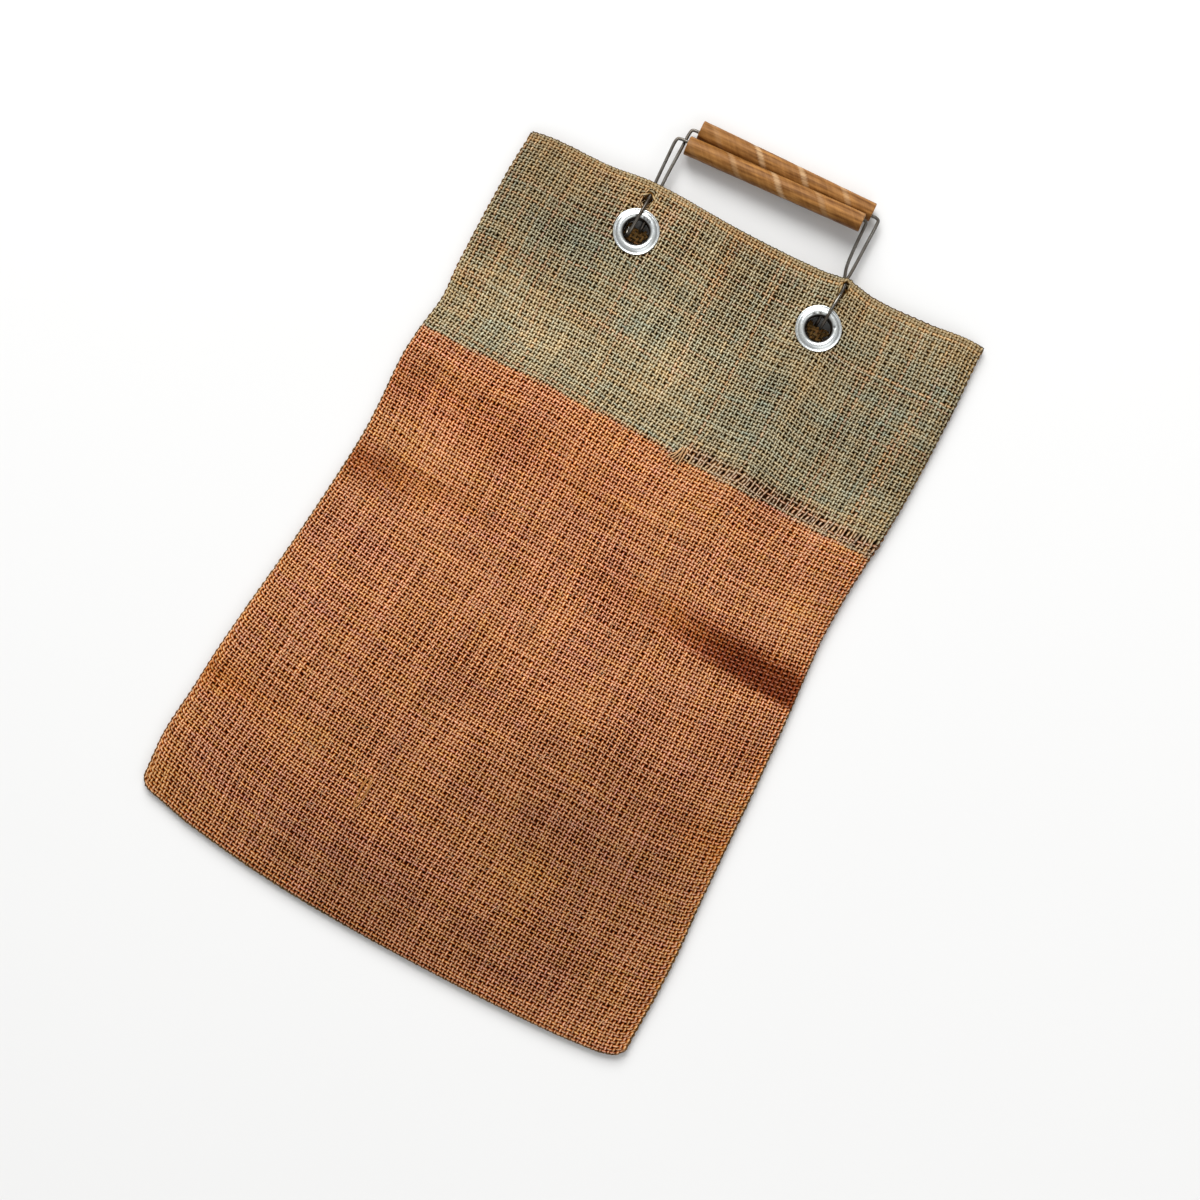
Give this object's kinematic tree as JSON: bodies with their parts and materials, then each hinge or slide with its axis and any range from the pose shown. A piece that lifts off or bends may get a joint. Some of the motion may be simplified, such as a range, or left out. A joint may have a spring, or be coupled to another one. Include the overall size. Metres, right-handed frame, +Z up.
{
  "type": "jute handbag",
  "caption": "Flat open-topped bag of hessian panels sewn at the sides and bottom, with metal eyelets near the mouth and wire handles with round grips.",
  "frame": {"origin": "on the surface the bag lies on, under the middle of its whole outline, handles included", "axes": "+Z up out of the front panel, +Y from the bag's bottom to its mouth and handles, +X across the bag to the right"},
  "size_m": [0.2978, 0.4736, 0.0179],
  "materials": {
    "front_cloth": "loose plain-weave jute dyed orange brown",
    "front_cloth_top": "the same loose plain-weave jute dyed sage green",
    "back_cloth": "loose plain-weave jute dyed orange brown",
    "back_cloth_top": "the same loose plain-weave jute dyed sage green",
    "eyelet_metal": "nickel plate with light scuffs",
    "handle_wire": "bare drawn steel wire, darkened",
    "grip_tube": "spiral-wound brown paper tube, lacquered"
  },
  "bodies": {
    "bag": {"front_body": "front_cloth", "front_top": "front_cloth_top", "back_body": "back_cloth", "back_top": "back_cloth_top", "front_eyelet_left": "eyelet_metal", "front_eyelet_right": "eyelet_metal", "back_eyelet_left": "eyelet_metal", "back_eyelet_right": "eyelet_metal", "front_bail": "handle_wire", "back_bail": "handle_wire"},
    "front_grip": {"front_grip": "grip_tube"},
    "back_grip": {"back_grip": "grip_tube"}
  },
  "joints": [
    {"name": "front_grip_spin", "type": "hinge", "parent": "bag", "child": "front_grip", "pos_m": [0.0016, 0.2198, 0.0105], "axis": [0.997, 0.0644, 0.0429], "continuous": true},
    {"name": "back_grip_spin", "type": "hinge", "parent": "bag", "child": "back_grip", "pos_m": [0.00405, 0.2295, 0.0056], "axis": [0.9992, 0.0391, 0], "continuous": true}
  ]
}
